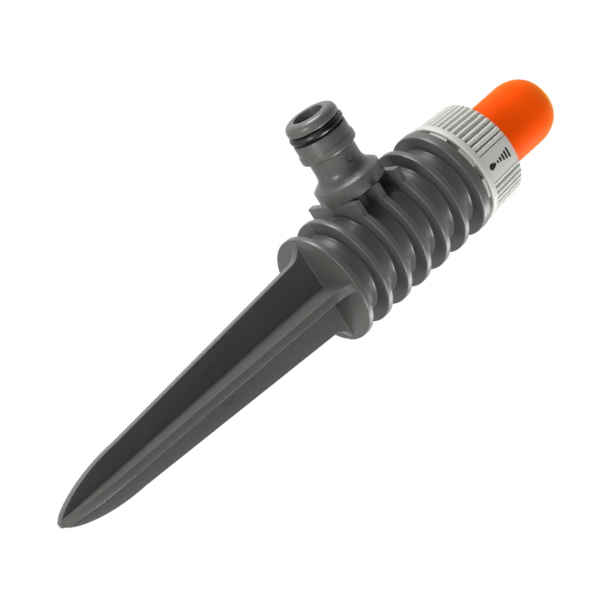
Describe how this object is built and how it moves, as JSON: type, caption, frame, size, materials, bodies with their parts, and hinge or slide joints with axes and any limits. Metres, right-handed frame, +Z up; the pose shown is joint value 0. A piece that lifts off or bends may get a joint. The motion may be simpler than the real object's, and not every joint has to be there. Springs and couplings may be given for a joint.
{
  "type": "spike sprinkler",
  "caption": "Ground-spike lawn sprinkler: ribbed barrel with a side hose inlet, knurled throttle collar and a geared, domed rotating head.",
  "frame": {"origin": "on the barrel axis at the ground side of the lowest rib, where the spike begins; this is ground level in use", "axes": "+Z up the barrel axis towards the head, -X out of the hose inlet, +Y the side that the jet leaves at rest"},
  "size_m": [0.0585, 0.034, 0.1997],
  "materials": {
    "body_plastic": "moulded, satin dark warm grey",
    "collar_plastic": "moulded, satin light grey",
    "head_plastic": "moulded, soft-gloss orange",
    "seal_rubber": "greased black nitrile",
    "light_plastic": "moulded, natural acetal",
    "dark_plastic": "moulded, dark grey",
    "pin_steel": "ground stainless",
    "bush_brass": "turned"
  },
  "bodies": {
    "body": {"spike_body": "body_plastic", "inlet_o_ring": "seal_rubber", "inlet_strainer": "light_plastic", "stator_plate": "light_plastic", "shaft_bush": "bush_brass", "gear_case": "dark_plastic", "gear_pin_near": "pin_steel", "gear_pin_far": "pin_steel", "spindle_seal": "seal_rubber", "port_plate": "dark_plastic", "collar_seal": "seal_rubber"},
    "head": {"nozzle_head": "head_plastic", "nozzle_insert": "dark_plastic", "nozzle_boss_seal": "seal_rubber", "drive_hub": "light_plastic", "thrust_washer": "light_plastic", "output_spindle": "pin_steel", "output_gear": "light_plastic"},
    "collar": {"collar_ring": "collar_plastic", "throttle_disc": "light_plastic", "head_seal": "seal_rubber"},
    "turbine": {"turbine_wheel": "dark_plastic", "turbine_shaft": "pin_steel", "turbine_pinion": "bush_brass"},
    "first_gear": {"first_gear": "light_plastic"},
    "second_gear": {"second_gear": "light_plastic"}
  },
  "joints": [
    {"name": "head_spin", "type": "hinge", "parent": "body", "child": "head", "pos_m": [0, 0, 0.07], "axis": [0, 0, 1], "continuous": true},
    {"name": "collar_turn", "type": "hinge", "parent": "body", "child": "collar", "pos_m": [0, 0, 0.06], "axis": [0, 0, 1], "range_deg": [0, 60]},
    {"name": "turbine_spin", "type": "hinge", "parent": "body", "child": "turbine", "pos_m": [0, 0, 0.0406], "axis": [0, 0, 1], "continuous": true},
    {"name": "first_gear_spin", "type": "hinge", "parent": "body", "child": "first_gear", "pos_m": [0.0045, 0, 0.048], "axis": [0, 0, 1], "continuous": true},
    {"name": "second_gear_spin", "type": "hinge", "parent": "body", "child": "second_gear", "pos_m": [0.00225, 0.0039, 0.051], "axis": [0, 0, 1], "continuous": true}
  ],
  "couplings": [
    {"joint": "second_gear_spin", "follows": "head_spin", "ratio": -2.75},
    {"joint": "first_gear_spin", "follows": "head_spin", "ratio": 7.5625},
    {"joint": "turbine_spin", "follows": "head_spin", "ratio": -20.797}
  ]
}
